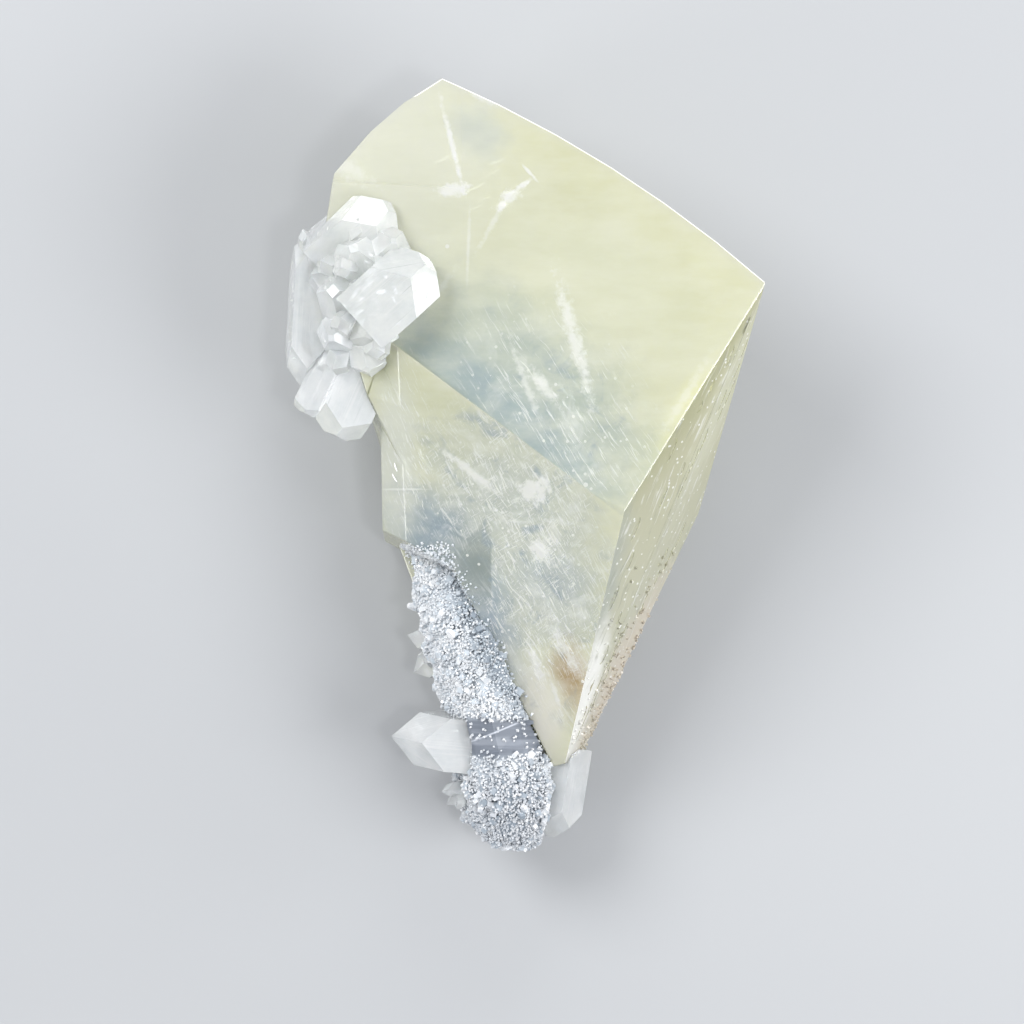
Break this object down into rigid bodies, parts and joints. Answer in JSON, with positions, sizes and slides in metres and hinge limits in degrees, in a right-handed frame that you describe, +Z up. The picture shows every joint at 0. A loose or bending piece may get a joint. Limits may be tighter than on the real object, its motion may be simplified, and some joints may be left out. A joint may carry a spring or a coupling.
{
  "type": "calcite specimen",
  "caption": "Stepped, wedge-shaped calcite crystal on a drusy stem, with clear apophyllite prisms grown on one side, lying on its flat cleaved back.",
  "frame": {"origin": "under the middle of the specimen's box, on the surface it lies on", "axes": "+Z up, out of the broad front face; +Y along the specimen, from the drusy end to the top corner; +X to the right as seen from the front"},
  "size_m": [0.0741, 0.1201, 0.0403],
  "materials": {
    "calcite": "translucent, glassy cleavage faces with cloudy zones, pale yellow-green",
    "druse": "blue-grey crust of small sparkling crystals",
    "apophyllite": "colourless, water-clear, with fine striations"
  },
  "bodies": {
    "root": {"calcite_crystal": "calcite", "drusy_stem": "druse", "apophyllite_cluster": "apophyllite", "apophyllite_point": "apophyllite", "apophyllite_foot": "apophyllite", "apophyllite_buds": "apophyllite", "apophyllite_sprig": "apophyllite"}
  },
  "joints": []
}
